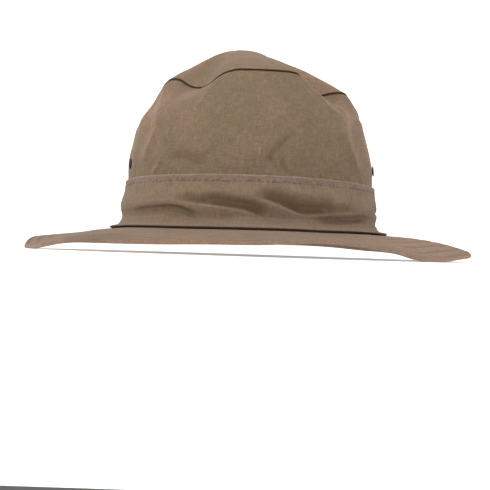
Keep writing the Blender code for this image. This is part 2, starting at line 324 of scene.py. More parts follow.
def clothNoise(tree, vector, stretch, detail, turn=0.0):
    moved = addNode(tree, "Mapping", Vector=vector, Scale=stretch, Rotation=(0, 0, turn))
    return addNode(tree, "TexNoise", Vector=moved, Scale=1.0, Detail=detail, Roughness=0.55)


def principled(name, values):  # a material and its shader, with these inputs
    made = bpy.data.materials.new(name)
    made.use_nodes = True
    shader = made.node_tree.nodes["Principled BSDF"]
    for key, value in values.items():
        shader.inputs[key].default_value = value
    return made, shader


def mixInto(made, shader, first, second, size, detail):  # colours a shader by a noise, which it gives back
    tree = made.node_tree
    place = tree.nodes.new("ShaderNodeTexCoord").outputs["Object"]
    field = clothNoise(tree, place, (size, size, size), detail)
    tree.links.new(blendColours(tree, field, (*first, 1), (*second, 1)), shader.inputs["Base Color"])
    return field


def makeCotton(name, look):
    made, shader = principled(name, look["shader"])
    tree = made.node_tree
    place = tree.nodes.new("ShaderNodeTexCoord").outputs["Object"]
    reads = {}
    for mark in ("thread", "blush", "shade"):
        reader = tree.nodes.new("ShaderNodeAttribute")
        reader.attribute_name = mark
        reads[mark] = reader.outputs["Vector" if mark == "thread" else "Fac"]
    fields = {key: clothNoise(tree, place, *row) for key, row in clothFields.items()}
    fields.update({key: clothNoise(tree, reads["thread"], *row) for key, row in threadFields.items()})

    # colour: khaki to rose by the blush mark (partly painted light, with browner painted shade in folds) and
    # clouds, mauve flecks, then threads and grain, then painted shade
    cast = reads["blush"]
    for key in ("streaks", "clouds"):
        cast = doMath(tree, "ADD", cast, doMath(tree, "MULTIPLY_ADD", fields[key], look[key], -look[key] / 2))
    cast = addNode(tree, "Clamp", Value=cast)
    colour = blendColours(tree, cast, (*look["khaki"], 1), (*look["rose"], 1))
    mauve = addNode(tree, "MapRange", Value=fields["flecks"], **look["flecks"])
    colour = blendColours(tree, mauve, colour, (*look["mauve"], 1))
    grain = 1.0
    for key, amount in (("warp", "threads"), ("weft", "threads"), ("specks", "specks"), ("mottle", "mottle")):
        share = doMath(tree, "MULTIPLY_ADD", fields[key], look[amount], 1 - look[amount] / 2)
        grain = doMath(tree, "MULTIPLY", grain, share)
    grey = addNode(tree, "CombineColor", Red=grain, Green=grain, Blue=grain)
    colour = blendColours(tree, 1.0, colour, grey, "MULTIPLY")
    # painted shade: the shade mark blends the cloth towards the seam colour
    colour = blendColours(tree, reads["shade"], colour, (*look["seam"], 1))

    # relief in metres: plain weave, slubs and the soft crumple of washed cotton
    split = tree.nodes.new("ShaderNodeSeparateXYZ")
    tree.links.new(reads["thread"], split.inputs[0])
    rate = 2 * math.pi / look["pitch"]
    waves = [doMath(tree, "SINE", doMath(tree, "MULTIPLY", split.outputs[k], rate)) for k in (0, 1)]
    height = doMath(tree, "MULTIPLY", doMath(tree, "MULTIPLY", *waves), look["weaveDepth"])
    for key, depth in (("warp", "slubDepth"), ("weft", "slubDepth"), ("specks", "crumpleDepth")):
        height = doMath(tree, "MULTIPLY_ADD", fields[key], look[depth], height)
    spread = look["roughnessSpread"]
    rough = doMath(tree, "MULTIPLY_ADD", fields["specks"], spread, look["roughness"] - spread / 2)
    tree.links.new(addNode(tree, "Bump", Height=height, Distance=1.0, Strength=1.0), shader.inputs["Normal"])
    tree.links.new(colour, shader.inputs["Base Color"])
    tree.links.new(rough, shader.inputs["Roughness"])
    return made


cottonLook = {
    "khaki": (0.18, 0.131, 0.081),
    "rose": (0.266, 0.173, 0.119),
    "mauve": (0.2, 0.141, 0.13),
    # seam: the colour of the painted shade in the seams, folds, stitch rows and under the band's flange
    "seam": (0.045, 0.021, 0.008),
    "streaks": 0.8,
    "clouds": 0.9,
    "flecks": {"From Min": 0.56, "From Max": 0.72, "To Min": 0.0, "To Max": 0.45},
    "threads": 0.6,
    "specks": 0.7,
    "mottle": 0.42,
    "pitch": 0.0006,
    "weaveDepth": 0.00003,
    "slubDepth": 0.00006,
    "crumpleDepth": 0.0001,
    "roughness": 0.84,
    "roughnessSpread": 0.16,
    "shader": {
        "IOR": 1.45,
        "Specular IOR Level": 0.2,
        "Sheen Weight": 0.12,
        "Sheen Roughness": 0.45,
        "Sheen Tint": (1.0, 0.84, 0.76, 1),
    },
}
bandLook = {
    **cottonLook,
    "khaki": (0.196, 0.14, 0.087),
    "rose": (0.252, 0.179, 0.141),
    # the band's painted shade colour
    "seam": (0.07, 0.034, 0.02),
    "threads": 0.5,
    "specks": 0.55,
    "mottle": 0.34,
}
brimLook = {
    **cottonLook,
    "khaki": (0.2, 0.142, 0.093),
    "rose": (0.284, 0.186, 0.13),
    # the brim's painted shade colour
    "seam": (0.07, 0.034, 0.02),
    "threads": 0.45,
    "specks": 0.5,
    "mottle": 0.34,
}
crownCotton = makeCotton("crown_cotton_look", cottonLook)
bandCotton = makeCotton("band_cotton_look", bandLook)
brimCotton = makeCotton("brim_cotton_look", brimLook)
print("materials made")


# Crown: the side panel up to the top seam. Its sizes are those of the solid.

crown = {
    "wall": 0.0013,
    "gap": 0.0003,
    "baseHeight": 0.0162,
    "bandTop": 0.0487,
    "seamHeight": 0.1178,
    "shoulder": 0.0009,  # how far the cloth rolls into the seam
    "rollTurns": (15, 91, 15),  # degrees of its rings there
    "innerDrop": 0.0001,  # from the seam down to where the inner face begins
    "around": 480,
    "outerRings": 84,
    "innerRings": 30,
    # height, half width, half length, squareness
    "sections": (
        (0.0162, 0.0866, 0.097, 2.0),
        (0.032, 0.0864, 0.0968, 2.0),
        (0.0487, 0.0862, 0.0964, 2.05),
        (0.062, 0.0861, 0.0955, 2.1),
        (0.076, 0.083, 0.0922, 2.2),
        (0.0905, 0.0787, 0.0873, 2.25),
        (0.104, 0.0724, 0.08, 2.2),
        (0.1178, 0.0655, 0.0712, 2.1),
    ),
    # azimuth, drift, spread, reach, depth, drop
    "dents": (
        (-32, -13, 25.5, 0.028, 0.005, 0.0101),
        (46, 11, 28, 0.028, 0.017, 0.0085),
        (-136, 6, 27, 0.026, 0.009, 0.006),
        (138, -6, 27, 0.026, 0.0105, 0.006),
        (-88, 0, 42, 0.042, 0.0, 0.0115),
        (90, 0, 58, 0.036, 0.0, 0.0065),
        (0, 0, 60, 0.02, 0.0, 0.001),
        (-55, 0, 9, 0.012, 0.0, 0.0011),
        (-44, 0, 6, 0.012, 0.0, -0.0007),
        (-18, 0, 8, 0.012, 0.0, -0.0009),
        (63, 0, 9, 0.012, 0.0, -0.0008),
        (78, 0, 12, 0.014, 0.0, 0.002),
        (-69, 0, 8, 0.012, 0.0, 0.0014),
    ),
    "dentTaper": 1.5,
    # azimuth at the seam, at the middle and at the band, rise
    "creases": (
        (-69, -56, -60, 0.0016),
        (70, 56, 66, 0.0018),
        (-108, -124, -118, 0.001),
        (108, 125, 118, 0.001),
    ),
    # azimuth, height, azimuth spread, height spread, outwards: where the cloth bulges or sags
    "sags": (
        (-72, 0.101, 45, 0.02, -0.0032),
        (80, 0.08, 45, 0.026, -0.0013),
        (80, 0.108, 35, 0.016, 0.0024),
        (30, 0.07, 17, 0.011, -0.0009),
    ),
    "creaseSpread": 10,
    "creaseMiddle": 0.078,
    # path of (azimuth, height), width to its left, width to its right, depth, lip
    "folds": (
        (((-33, 0.06), (-27, 0.0585), (-21, 0.056), (-15, 0.052)), 0.0075, 0.004, 0.0016, 0.0003),
        (((17, 0.076), (13.5, 0.0715), (10, 0.0655), (7, 0.059), (5, 0.0545)),
         0.0012, 0.0026, 0.0012, 0.0003),
        (((6, 0.061), (8.5, 0.056), (11, 0.05)), 0.0016, 0.0026, 0.001, 0.0004),
        (((11, 0.06), (12, 0.0555), (13.5, 0.0495)), 0.0014, 0.0026, 0.001, 0.0004),
        (((-60, 0.062), (-57, 0.056), (-56, 0.05)), 0.0022, 0.0022, 0.0006, 0.0002),
        (((100, 0.064), (112, 0.056), (126, 0.054)), 0.005, 0.003, 0.001, 0.0003),
        (((150, 0.056), (165, 0.06), (182, 0.059)), 0.006, 0.003, 0.001, 0.0003),
        (((200, 0.076), (207, 0.066), (210, 0.056)), 0.004, 0.0024, 0.0008, 0.0003),
        (((224, 0.056), (240, 0.062), (254, 0.06)), 0.005, 0.003, 0.0009, 0.0003),
    ),
    # path, width to its left, width to its right, height, painted light (rosier) to its left and to its
    # right, painted shade (browner) below 0
    "crests": (
        (((-58, 0.116), (-51, 0.1021), (-44.5, 0.0901), (-42.5, 0.0799), (-43.5, 0.0733), (-46.5, 0.064),
          (-50, 0.0517)), 0.0065, 0.009, 0.0018, 0.1, 0.45),
        (((66, 0.1172), (51, 0.103), (44.5, 0.0925), (41.5, 0.0799), (42.5, 0.0715), (45.5, 0.0637),
          (49, 0.0559), (52, 0.05)), 0.009, 0.0065, 0.002, 0.35, -0.15),
        (((20, 0.1172), (25, 0.1168), (29, 0.1093), (32.5, 0.1027), (35, 0.0961), (38.5, 0.0925),
          (43, 0.089)), 0.006, 0.0045, 0.0013, 0.55, -0.2),
        (((-17, 0.1172), (-19, 0.11), (-20.5, 0.103), (-22.5, 0.094), (-25, 0.09)),
         0.0045, 0.005, 0.0006, -0.25, 0.15),
        (((-36.0, 0.06), (-39, 0.054), (-43, 0.048)), 0.0024, 0.003, 0.0011, 0.1, 0.1),
        (((3.5, 0.068), (3, 0.061), (2.5, 0.054)), 0.0022, 0.0022, 0.0006, -0.2, 0.0),
        (((-112, 0.1172), (-120, 0.1), (-124, 0.082), (-121, 0.064)), 0.007, 0.007, 0.0014, 0.22, 0.0),
        (((112, 0.1172), (121, 0.1), (125, 0.082), (122, 0.064)), 0.007, 0.007, 0.0014, 0.0, 0.22),
        (((160, 0.1172), (153, 0.104), (148, 0.093)), 0.005, 0.0045, 0.0012, 0.0, 0.4),
    ),
    # azimuth, height, azimuth spread, height spread, amount: where the cloth is painted rosier, mostly
    # painted light on lit facets and sides, and browner below 0, painted shade in hollows
    "blush": (
        (-76, 0.086, 34, 0.04, 0.6),
        (-50, 0.1, 9, 0.019, 0.75),
        (-30, 0.106, 12, 0.013, 0.85),
        (51, 0.104, 15, 0.02, 1.0),
        (44, 0.089, 8, 0.01, 0.6),
        (70, 0.082, 22, 0.042, 0.8),
        (28, 0.064, 22, 0.016, -0.45),
        (-6, 0.086, 16, 0.02, -0.2),
        (-25, 0.057, 17, 0.007, -0.6),
        (9, 0.06, 5, 0.009, -0.35),
        (14, 0.109, 14, 0.008, -0.25),
    ),
    # the same, painted shade that darkens the cloth there
    "paintedShadePatches": (
        (60, 0.098, 14, 0.02, 0.16),
    ),
    "plainBlush": 0.1,
    # painted shade in the folds: browner by this, and darker by the next
    "foldShadeBlush": -1.2,
    "foldShade": 0.18,
    # depth, stretch upwards, size, seed
    "softness": (
        (0.0008, 1.0, 0.034, 1),
        (0.00045, 0.6, 0.011, 2),
    ),
    # upright wrinkles: the same, then how strong they are all over, above the band, and in patches
    "wrinkles": ((0.0004, 0.18, 0.003, 3),),
    "wrinkled": 0.1,
    "gathered": 0.3,
    "gatherReach": 0.009,
    "wrinklePatches": ((-23, 0.0575, 9, 0.0075, 1.0),),
}


def dentShift(azimuth, height):  # how far the dents move the crown inwards and down
    inwards = down = 0
    for middle, drift, spread, reach, depth, drop in crown["dents"]:
        below = np.clip((crown["seamHeight"] - height) / reach, 0, 1)
        share = hump(turnBetween(azimuth, middle + drift * below) / spread)
        share = share * (1 - below) ** crown["dentTaper"]
        inwards, down = inwards + depth * share, down + drop * share
    return inwards, down


def creaseRise(azimuth, height):
    rise = 0
    places = (crown["bandTop"], crown["creaseMiddle"], crown["seamHeight"])
    fade = np.clip((height - places[0]) / (places[1] - places[0]), 0, 1)
    for top, middle, foot, high in crown["creases"]:
        line = smoothTable(height, places, (foot, middle, top))
        rise = rise + high * fade * hump(turnBetween(azimuth, line) / crown["creaseSpread"])
    return rise


def plainCrown(azimuth, height):
    heights, *columns = np.array(crown["sections"]).T
    sizes = [smoothTable(height, heights, column) for column in columns]
    azimuth, height, *sizes = together(azimuth, height, *sizes)
    return ovalPoint(azimuth, *sizes) + upward(height)


def crownRelief(azimuth, height):  # wrinkles and softness that stand out of the crown
    places = plainCrown(azimuth, height)
    soft = softRipples(places, crown["softness"])
    strength = patches(azimuth, height, crown["wrinklePatches"])
    strength = strength + crown["gathered"] * hump((height - crown["bandTop"]) / crown["gatherReach"])
    wrinkled = softRipples(places, crown["wrinkles"]) * (strength + crown["wrinkled"])
    folded = foldLines(azimuth, height, crown["folds"])[0]
    return soft + wrinkled + crestLines(azimuth, height, crown["crests"])[0] - folded


def crownPoint(azimuth, height):  # outer face of the crown. The height is the one before the dents.
    azimuth, height = together(azimuth, height)
    inwards, down = dentShift(azimuth, height)
    swell = creaseRise(azimuth, height) + patches(azimuth, height, crown["sags"])
    swell = swell + crownRelief(azimuth, height) - inwards
    return plainCrown(azimuth, height) + out(azimuth, swell) - upward(down)


def crownSection():  # (height, inset) round the section of the wall, up outside and down inside
    low, high, wall, roll = crown["baseHeight"], crown["seamHeight"], crown["wall"], crown["shoulder"]
    turns = np.radians(np.arange(*crown["rollTurns"]))
    up = [(height, 0) for height in np.linspace(low, high - roll, crown["outerRings"])]
    over = [(high - roll + roll * math.sin(turn), roll - roll * math.cos(turn)) for turn in turns]
    down = [(height, wall) for height in np.linspace(high - crown["innerDrop"], low, crown["innerRings"])]
    return np.array(up + over + down)


def makeCrownSide():
    heights, insets = crownSection().T
    levels, insets = heights[:, None], insets[:, None]
    around = azimuths(crown["around"])[None, :]
    rings = crownPoint(around, levels) - out(around, insets)
    top, roll = crown["seamHeight"], crown["shoulder"]
    # painted shade where the cloth rolls into the seam's groove
    seam = np.where(insets < crown["wall"], ramp(levels, top - roll, top - roll / 2), 0)
    folded = foldLines(around, levels, crown["folds"])[1]
    crestPaintedLight = crestLines(around, levels, crown["crests"])[1]
    # blush: painted light on lit facets and beside crests, browner painted shade in the folds
    blush = crown["plainBlush"] + patches(around, levels, crown["blush"]) + crestPaintedLight + crown["foldShadeBlush"] * folded
    shade = np.maximum(seam, crown["foldShade"] * folded)
    shade = np.maximum(shade, patches(around, levels, crown["paintedShadePatches"]))
    marks = {"blush": blush, "shade": shade}
    return makeMesh("crown_side_cloth", rings, cylinderThreads(heights, crown["around"]), marks)


crownSide = makeCrownSide()
print("crown side made")


# Top panel, from the seam at share 0 to the peak at share 1

tip = {
    "peakHeight": 0.1456,
    "peakSide": -0.0104,
    "peakRoundness": 0.26,
    "dentFade": 1.8,
    "edgeShare": 0.014,  # where the rounded edge begins
    "edgeTurns": (-75, 76, 25),  # degrees of its rings
    "edgeShade": (0.1, 0.95),  # where the shade ends, as sines of those
    "settled": 0.14,  # how far in the panel is let down on the seam
    "gap": 0.00004,  # the seam is sewn shut
    # depth, stretch upwards, size, seed
    "softness": (
        (0.0009, 1.0, 0.03, 4),
        (0.0003, 1.0, 0.012, 5),
    ),
    "softShares": (0, 0.25, 0.75, 1),
    # azimuth, share of the way to the peak, their spreads, amount: where the cloth is rosier
    "blush": (
        (62, 0.15, 38, 0.45, 0.6),
        (-76, 0.1, 26, 0.3, 0.3),
    ),
    "plainBlush": 0.3,
    "peakBlush": 0.45,  # how much rosier the peak is than the edge
    "blotches": ((0.5, 1.0, 0.028, 12),),
    "around": 480,
    "underRings": 26,
    "overRings": 64,
    "nearPeak": 0.985,  # share at the last ring inside
    "peakRing": 0.012,  # the same outside, left to the peak
    "ringSpacing": 1.15,
}


def tipPoint(azimuth, share):  # underside of the panel
    azimuth, share = together(azimuth, share)
    plainSeam = plainCrown(azimuth, crown["seamHeight"]) + upward(tip["gap"])
    seam = crownPoint(azimuth, crown["seamHeight"]) + upward(tip["gap"])
    peak = np.array([tip["peakSide"], 0, tip["peakHeight"] - crown["wall"]])
    points = plainSeam + (peak - plainSeam) * share[..., None]
    rounded = tip["peakRoundness"]
    leftToRise = np.hypot(1 - share, rounded) - rounded
    points[..., 2] = peak[2] - (peak[2] - plainSeam[..., 2]) * leftToRise / (math.hypot(1, rounded) - rounded)
    points = points + (seam - plainSeam) * ((1 - share) ** tip["dentFade"])[..., None]
    soft = softRipples(points, tip["softness"])
    return points + upward(soft * plateau(share, *tip["softShares"]))


def settledTip(azimuth, share):  # the same, let down on the seam at its edge
    points = tipPoint(azimuth, share)
    edge = tipPoint(azimuth, tip["edgeShare"]) - tipPoint(azimuth, 0)
    return points - upward(edge[..., 2] * (1 - ramp(share, tip["edgeShare"], tip["settled"])))


def makeCrownTip():
    half = crown["wall"] / 2
    start = tip["edgeShare"]
    lower = np.linspace(tip["nearPeak"], start, tip["underRings"])
    turns = np.radians(np.arange(*tip["edgeTurns"]))
    upper = 1 - (1 - start) * np.linspace(1, tip["peakRing"], tip["overRings"]) ** tip["ringSpacing"]
    around = azimuths(tip["around"])[None, :]
    under = settledTip(around, lower[:, None])
    middle = settledTip(around, start) + upward(half)
    edge = roundedEdge(middle, around, half * np.cos(turns), half * np.sin(turns))
    over = settledTip(around, upper[:, None]) + upward(crown["wall"])
    rings = np.concatenate([under, edge, over])
    poles = [tipPoint(0.0, 1.0), tipPoint(0.0, 1.0) + upward(crown["wall"])]
    edgeShade = 1 - ramp(np.sin(turns), *tip["edgeShade"])
    shade = np.concatenate([0 * lower, edgeShade, 0 * upper])
    shares = np.concatenate([lower, start + 0 * turns, upper])[:, None]
    blush = tip["plainBlush"] + tip["peakBlush"] * shares + patches(around, shares, tip["blush"])
    blush = blush + softRipples(rings, tip["blotches"])
    marks = {"blush": blush, "shade": shade[:, None]}
    return makeMesh("crown_tip_cloth", rings, wrapped(rings), marks, poles)


crownTip = makeCrownTip()
print("top panel made")


# Brim: quilted cloth, stitched round and round

brim = {
    "wall": 0.0024,
    "halfWidth": 0.1537,
    "halfLength": 0.165,
    "around": 600,
    # azimuth, height of the edge, curl
    "rows": (
        (-180, 0.0096, 1.3),
        (-152, 0.0088, 1.3),
        (-125, 0.0074, 1.3),
        (-105, 0.0066, 1.3),
        (-91, 0.006, 1.3),
        (-82, 0.0034, 1.4),
        (-74, -0.0002, 1.6),
        (-66, -0.0016, 1.8),
        (-58, -0.001, 1.8),
        (-50, 0.0011, 1.8),
        (-38, 0.0038, 1.5),
        (-25, 0.0042, 1.3),
        (0, 0.0058, 1.3),
        (17, 0.0072, 1.3),
        (25, 0.0054, 1.4),
        (32, 0.0026, 1.8),
        (41, -0.0014, 2.4),
        (48, -0.0002, 2.6),
        (58, 0.0015, 2.8),
        (72, 0.0026, 3.0),
        (90, 0.0056, 3.0),
        (98, 0.003, 2.8),
        (106, -0.001, 2.4),
        (113, -0.002, 2.2),
        (119, -0.0006, 2.0),
        (128, 0.004, 1.7),
        (142, 0.0066, 1.5),
        (158, 0.0088, 1.4),
    ),
    # azimuth, share of the width, their spreads, amount: where the cloth is rosier, and browner below 0,
    # which is painted shade
    "blush": (
        (-36, 0.84, 17, 0.3, -0.75),
        (-62, 0.85, 14, 0.4, 0.2),
        (48, 0.8, 26, 0.45, 0.6),
    ),
    "stitchRows": (0.0024, 0.009, 0.017, 0.025, 0.033, 0.041, 0.049),  # in from the edge
    "stitchReach": 0.0016,  # how far from a row the cloth is pulled in
    "quiltDepth": 0.00055,
    "underQuilt": 0.5,  # share of that depth underneath
    # painted shade along the stitch rows
    "rowShade": 0.1,
    "width": 0.069,
    "waves": ((0.0006, 1.0, 0.045, 6),),  # depth, stretch upwards, size, seed
    "wavyShares": (0.15, 0.5),
    "plainBlush": 0.3,
    "outerBlush": 0.2,  # how much rosier the edge is than the seam
    "edgeBlush": 0.7,
    "paintedShadeShare": 0.25,  # painted shade: how dark the browner places are
    "flangeShadowShares": (0.16, 0.172),  # where the band's flange ends, and so where the painted shadow under it ends
    "edgeTurns": (-70, 71, 20),
    "overRings": 96,
    "underRings": 56,
    "innerShare": 0.004,
    "floorGap": 0.00002,
}


def brimPoint(azimuth, share):  # underside of the brim
    azimuth, share = together(azimuth, share)
    inset = crown["wall"] + crown["gap"]
    inner = ovalPoint(azimuth, crown["sections"][0][1] - inset, crown["sections"][0][2] - inset)
    outer = ovalPoint(azimuth, brim["halfWidth"], brim["halfLength"])
    top = crown["baseHeight"] - crown["gap"] - brim["wall"]
    edge = roundTable(azimuth, brim["rows"], 1)
    height = top - (top - edge) * share ** roundTable(azimuth, brim["rows"], 2)
    points = inner + (outer - inner) * share[..., None]
    wave = softRipples(points, brim["waves"]) * ramp(share, *brim["wavyShares"])
    return points + upward(np.maximum(height + wave, 0))


def quilting(share):  # how far the cloth is pulled in at each row of stitches
    inwards = (1 - share) * brim["width"]
    return sum(hump((inwards - row) / brim["stitchReach"]) for row in brim["stitchRows"]) * brim["quiltDepth"]


def brimTop(azimuth, share):
    return brimPoint(azimuth, share) + upward(brim["wall"] - quilting(share))


def makeBrim():
    half = brim["wall"] / 2
    start = 1 - half / brim["width"]
    upper = np.linspace(start, 0, brim["overRings"])
    lower = np.linspace(brim["innerShare"], start, brim["underRings"])
    turns = np.radians(np.arange(*brim["edgeTurns"]))
    around = azimuths(brim["around"])[None, :]
    over = brimTop(around, upper[:, None])
    under = brimPoint(around, lower[:, None]) + upward(brim["underQuilt"] * quilting(lower))[:, None]
    middle = brimPoint(around, start) + upward(half)
    edge = roundedEdge(middle, around, half * np.cos(turns), half * np.sin(turns))
    rings = np.concatenate([under, edge, over])
    rings[..., 2] = np.maximum(rings[..., 2], brim["floorGap"])
    # painted shadow under the band's flange, and painted shade along the stitch rows
    paintedFlangeShadow = 1 - ramp(upper, *brim["flangeShadowShares"])
    paintedRowShade = brim["rowShade"] * quilting(upper) / brim["quiltDepth"]
    shade = np.concatenate([0 * lower, 0 * turns, np.maximum(paintedFlangeShadow, paintedRowShade)])
    plain = brim["plainBlush"]
    blush = [plain + 0 * lower, brim["edgeBlush"] + 0 * turns, plain + brim["outerBlush"] * upper]
    shares = np.concatenate([lower, start + 0 * turns, upper])
    # rosier and browner patches; the browner ones are painted shade
    wearAndPaintedLight = patches(around, shares[:, None], brim["blush"])
    shade = np.maximum(shade[:, None], -brim["paintedShadeShare"] * wearAndPaintedLight)
    marks = {"blush": np.concatenate(blush)[:, None] + wearAndPaintedLight, "shade": shade}
    return makeMesh("brim_cloth", rings, wrapped(rings), marks)


brimCloth = makeBrim()
print("brim made")


# Hat band, with a stitched hem at its top and a flange turned out on the brim at its foot

band = {
    "wall": 0.0013,
    "around": 720,
    # share of the brim's width, lift off the brim, from the flange's edge to the foot of the wall
    "flare": (
        (0.175, 0.0006),
        (0.15, 0.0005),
        (0.127, 0.0008),
        (0.105, 0.0017),
        (0.087, 0.0031),
        (0.076, 0.0046),
    ),
    # height, puff
    "rows": (
        (0.0235, 0.0011),
        (0.0255, 0.0012),
        (0.0287, 0.0021),
        (0.0325, 0.0024),
        (0.036, 0.0018),
        (0.04, 0.0009),
        (0.044, 0.0003),
        (0.0487, 0.0),
    ),
    # path of (azimuth, height), width to its left, width to its right, depth, lip
    "folds": (
        (((-29, 0.0336), (-19, 0.0318), (-14, 0.0311), (-10, 0.0303), (-5, 0.0293), (-1.5, 0.0284),
          (1, 0.0272), (3.5, 0.0253), (7, 0.0228)), 0.0062, 0.0024, 0.0021, 0.0001),
        (((-18, 0.0316), (-14, 0.0311), (-10, 0.0303), (-5, 0.0293), (-1.5, 0.0284), (1, 0.0272),
          (3.5, 0.0253), (7, 0.0228)), 0.0084, 0.0024, 0.003, 0.0001),
        (((0.5, 0.0358), (6.5, 0.0342), (9.5, 0.0327), (12, 0.0311), (15, 0.0292), (18, 0.0278),
          (21.5, 0.0275), (26.5, 0.0281), (34, 0.0292)), 0.0112, 0.0026, 0.0036, 0.0002),
        (((14, 0.0297), (18, 0.0278), (21.5, 0.0275), (26.5, 0.0281), (33, 0.0291), (42, 0.0304),
          (46, 0.0309)), 0.006, 0.0024, 0.0016, 0.0001),
        (((-16.5, 0.0218), (-18.5, 0.0232), (-20.5, 0.025), (-23, 0.0267), (-26, 0.0279), (-30, 0.0285),
          (-36, 0.0284), (-44, 0.0279), (-56, 0.0271)), 0.0062, 0.0016, 0.0015, 0.0003),
        (((-17, 0.0222), (-18.5, 0.0232), (-20.5, 0.025), (-23, 0.0267), (-26, 0.0279), (-30, 0.0285),
          (-35, 0.0284), (-40, 0.0281)), 0.004, 0.0016, 0.002, 0.0001),
        (((22, 0.0217), (30, 0.0218), (36.5, 0.0221), (44, 0.023), (52, 0.0243), (60, 0.0255)),
         0.0054, 0.0018, 0.0036, 0.0002),
        (((64, 0.034), (74, 0.032), (90, 0.0285), (112, 0.029)), 0.006, 0.0025, 0.0022, 0.0004),
        (((118, 0.027), (132, 0.029), (150, 0.033), (168, 0.034)), 0.008, 0.0024, 0.0032, 0.0005),
        (((172, 0.036), (186, 0.033), (204, 0.027), (222, 0.026)), 0.008, 0.0024, 0.0032, 0.0005),
        (((226, 0.034), (240, 0.03), (262, 0.031), (280, 0.035)), 0.0065, 0.0024, 0.0024, 0.0004),
    ),
    "frontPuff": (4, 64, 0.0012),  # azimuth, spread, how much more the front puffs out
    "belly": (0.0205, 0.0265, 0.038, 0.044),  # heights between which it does
    # depth, stretch upwards, size, seed of the slack, and the heights between which it lies
    "slack": ((0.0006, 1.0, 0.022, 7),),
    "slackHeights": (0.019, 0.026, 0.04, 0.045),
    "looseness": ((0.0004, 0.25, 0.0042, 8),),
    "looseHeight": 0.042,
    "looseReach": 0.007,
    "hemStitch": 0.0446,
    # the same for the hem, where the stitches crimp and pucker it
    "crimps": ((1.0, 0.7, 0.0019, 9),),
    "crimpRange": (-0.1, 0.35),
    "crimpLift": 0.0003,
    "crimpReach": 0.0018,
    "crimpDepth": 0.00045,
    "puckers": ((0.0003, 0.7, 0.0022, 11),),
    "puckerHeights": (0.0432, 0.045, 0.0474, 0.0484),
    "hemRoll": (0.0478, 0.001, 0.00025),  # height, reach, outwards
    # looks: painted shade in the folds, at the crimps and under the flange's edge, and a painted highlight on
    # the hem
    "foldShade": 0.62,
    "foldFalloff": 1.5,
    "sideShade": 0.55,  # how much of it is lost at the sides and the back
    "sideAzimuths": (58, 72),
    "crimpShade": 0.4,
    "plainBlush": 0.3,
    "hemPaintedHighlight": 0.6,
    "hemEdge": (0.0474, 0.048),
    "stripBlush": 0.35,
    "stripEdge": (0.0428, 0.044),
    "foldShadeBlush": -0.9,
    "lipShade": (-0.3, 0.3),  # where the painted shadow begins on the flange's edge, as cosines of its turns
    "edgeTurns": (20, 161, 20),
    "wallRings": 58,
    "innerRings": 16,
    "flareSteps": (3, 4, 5, 5, 6, 6, 1),
    "flangeThreads": (0.006, 0.008),
}


def bandStandoff(azimuth, height):  # from the crown to the inner face of the band
    table = np.array(band["rows"]).T
    middle, spread, more = band["frontPuff"]
    belly = plateau(height, *band["belly"])
    puff = smoothTable(height, *table) + more * hump(turnBetween(azimuth, middle) / spread) * belly
    sink = foldLines(azimuth, height, band["folds"])[0]
    places = plainCrown(azimuth, height)
    slack = softRipples(places, band["slack"]) * plateau(height, *band["slackHeights"])
    loose = softRipples(places, band["looseness"]) * hump((height - band["looseHeight"]) / band["looseReach"])
    return crown["gap"] + np.maximum(puff - sink + slack + loose, 0)


def crimps(azimuth, height):  # 1 at the crimped spots where the hem's stitches pull the cloth in, else 0
    places = plainCrown(azimuth, height)
    spots = ramp(softRipples(places, band["crimps"]), *band["crimpRange"])
    return spots * hump((height - band["hemStitch"] - band["crimpLift"]) / band["crimpReach"])


def pucker(azimuth, height):  # how far the hem stands out or in
    places = plainCrown(azimuth, height)
    waves = softRipples(places, band["puckers"]) * plateau(height, *band["puckerHeights"])
    level, reach, outwards = band["hemRoll"]
    roll = outwards * hump((height - level) / reach)
    return roll + waves - band["crimpDepth"] * crimps(azimuth, height)


def flareRings(around):  # top of the flange, from its edge inwards
    shares, lifts = np.array(band["flare"]).T
    lifts = lifts + crown["gap"] + band["wall"]
    return brimPoint(around, shares[:, None]) + upward(brim["wall"] + lifts)[:, None]


def bandFace(azimuth, height):  # outer face of the wall
    stand = bandStandoff(azimuth, height) + band["wall"] + pucker(azimuth, height)
    return crownPoint(azimuth, height) + out(azimuth, stand)


